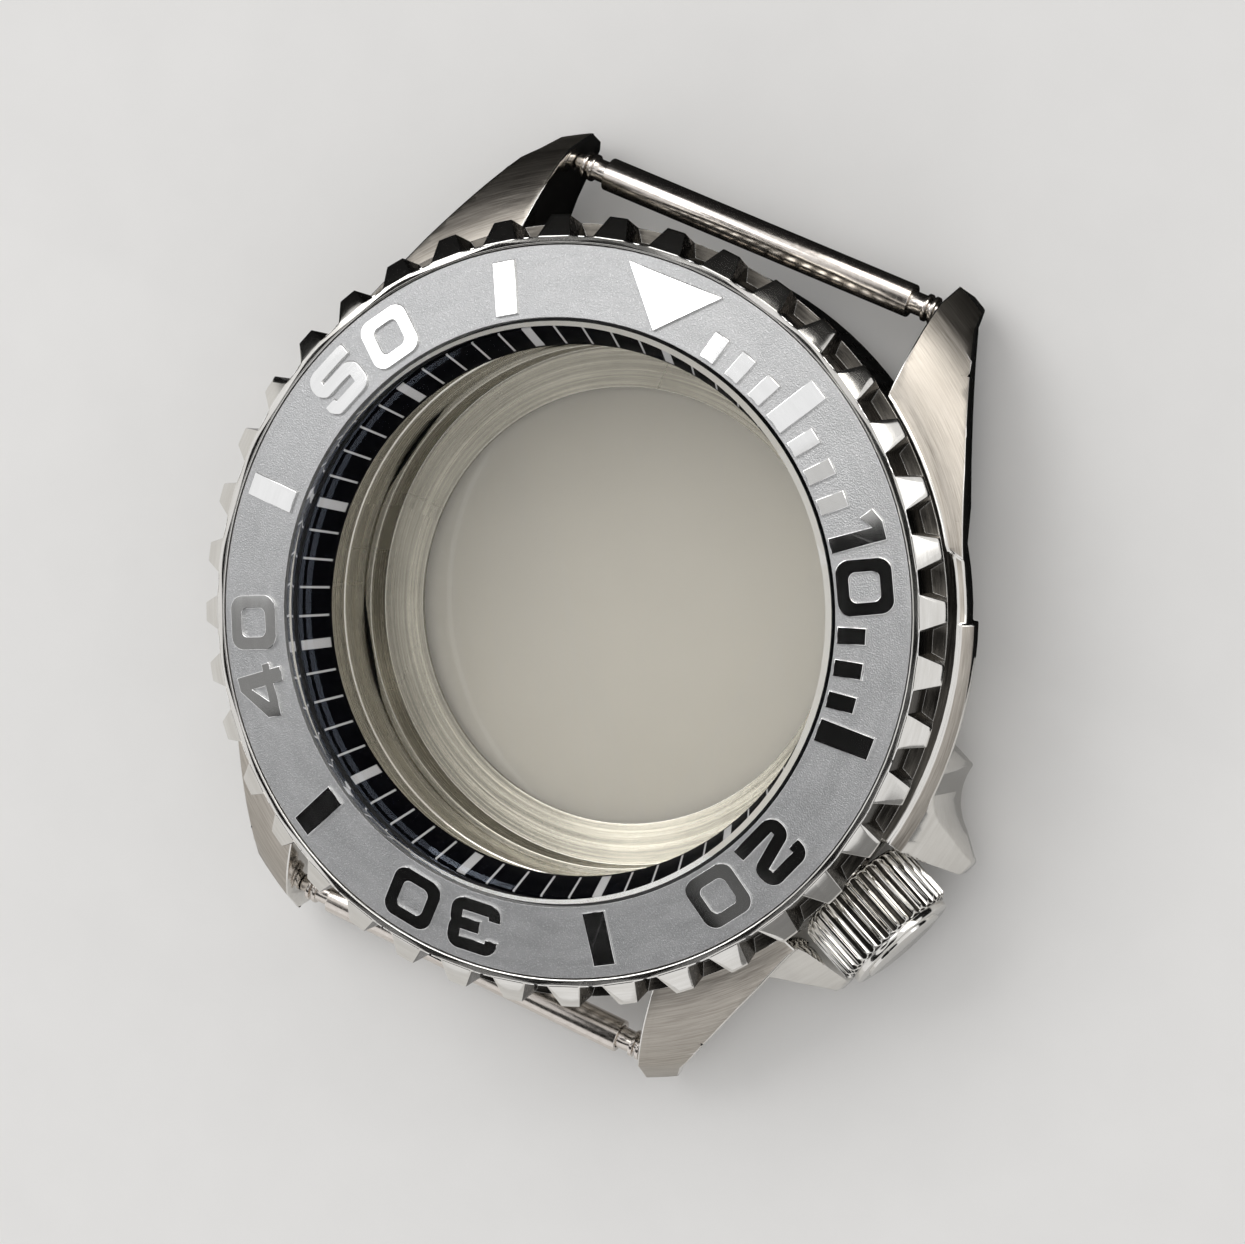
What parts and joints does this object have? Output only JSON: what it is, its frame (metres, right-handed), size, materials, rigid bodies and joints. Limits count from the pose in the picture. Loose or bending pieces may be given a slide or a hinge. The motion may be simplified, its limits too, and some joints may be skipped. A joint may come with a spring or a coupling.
{
  "type": "empty diver's watch case",
  "caption": "Empty diver's watch case with a turning notched bezel, a flat crystal, a screw-down crown between guards, a screw-in window back, four lugs and sprung strap bars.",
  "frame": {"origin": "middle of the outer face of the window in the case back, on which the case rests", "axes": "+X towards 3 o'clock, +Y towards 12 o'clock, +Z out of the crystal"},
  "size_m": [0.0438, 0.0456, 0.013],
  "materials": {
    "case_steel": "brushed tops, polished edges",
    "bezel_steel": "polished steel",
    "insert_steel": "matt blasted, marks polished",
    "crown_steel": "polished steel",
    "bar_steel": "turned and polished steel",
    "spring_steel": "spring steel",
    "crystal_glass": "clear, coated",
    "ring_black": "satin black with light grey minute lines",
    "seal_rubber": "moulded",
    "adhesive": "thin adhesive"
  },
  "bodies": {
    "case": {"mid_case": "case_steel", "crystal": "crystal_glass", "crystal_gasket": "seal_rubber", "chapter_ring": "ring_black", "bezel_gasket": "seal_rubber", "click_spring": "spring_steel", "crown_tube": "bar_steel"},
    "bezel_ring": {"bezel": "bezel_steel", "bezel_insert": "insert_steel", "insert_adhesive": "adhesive"},
    "crown_slider": {"crown_core": "bar_steel", "core_seals": "seal_rubber"},
    "crown_head": {"crown_shell": "crown_steel", "crown_sleeve": "bar_steel", "crown_washer": "seal_rubber", "crown_spring": "spring_steel"},
    "back_slider": {"back_seal": "seal_rubber"},
    "back": {"case_back": "case_steel", "back_glass": "crystal_glass", "back_glass_gasket": "seal_rubber"},
    "bar_12": {"bar_12_tube": "bar_steel", "bar_12_spring": "spring_steel"},
    "bar_12_right": {"bar_12_right_pin": "bar_steel"},
    "bar_12_left": {"bar_12_left_pin": "bar_steel"},
    "bar_6": {"bar_6_tube": "bar_steel", "bar_6_spring": "spring_steel"},
    "bar_6_right": {"bar_6_right_pin": "bar_steel"},
    "bar_6_left": {"bar_6_left_pin": "bar_steel"}
  },
  "joints": [
    {"name": "bezel_turn", "type": "hinge", "parent": "case", "child": "bezel_ring", "pos_m": [0, 0, 0.0105], "axis": [0, 0, 1], "continuous": true, "deforming": ["click_spring"]},
    {"name": "crown_travel", "type": "slide", "parent": "case", "child": "crown_slider", "axis": [0.9135, -0.4067, 0], "range_m": [0, 0.0014]},
    {"name": "crown_turn", "type": "hinge", "parent": "crown_slider", "child": "crown_head", "pos_m": [0.0201, -0.00895, 0.0049], "axis": [0.9135, -0.4067, 0], "range_deg": [0, 1440]},
    {"name": "back_travel", "type": "slide", "parent": "case", "child": "back_slider", "axis": [0, 0, -1], "range_m": [0, 0.0015]},
    {"name": "back_turn", "type": "hinge", "parent": "back_slider", "child": "back", "pos_m": [0, 0, 0.001], "axis": [0, 0, -1], "range_deg": [0, 1080]},
    {"name": "bar_12_spin", "type": "hinge", "parent": "case", "child": "bar_12", "pos_m": [0, 0.0212, 0.00355], "axis": [1, 0, 0], "continuous": true},
    {"name": "bar_12_right_press", "type": "slide", "parent": "bar_12", "child": "bar_12_right", "axis": [-1, 0, 0], "range_m": [0, 0.0008], "stiffness_N_per_m": 300, "springref_m": -0.001, "deforming": ["bar_12_spring"]},
    {"name": "bar_12_left_press", "type": "slide", "parent": "bar_12", "child": "bar_12_left", "axis": [1, 0, 0], "range_m": [0, 0.0008], "stiffness_N_per_m": 300, "springref_m": -0.001, "deforming": ["bar_12_spring"]},
    {"name": "bar_6_spin", "type": "hinge", "parent": "case", "child": "bar_6", "pos_m": [0, -0.0212, 0.00355], "axis": [1, 0, 0], "continuous": true},
    {"name": "bar_6_right_press", "type": "slide", "parent": "bar_6", "child": "bar_6_right", "axis": [-1, 0, 0], "range_m": [0, 0.0008], "stiffness_N_per_m": 300, "springref_m": -0.001, "deforming": ["bar_6_spring"]},
    {"name": "bar_6_left_press", "type": "slide", "parent": "bar_6", "child": "bar_6_left", "axis": [1, 0, 0], "range_m": [0, 0.0008], "stiffness_N_per_m": 300, "springref_m": -0.001, "deforming": ["bar_6_spring"]}
  ],
  "couplings": [
    {"joint": "crown_turn", "follows": "crown_travel", "rad_per_m": 17951},
    {"joint": "back_turn", "follows": "back_travel", "rad_per_m": 12566}
  ]
}
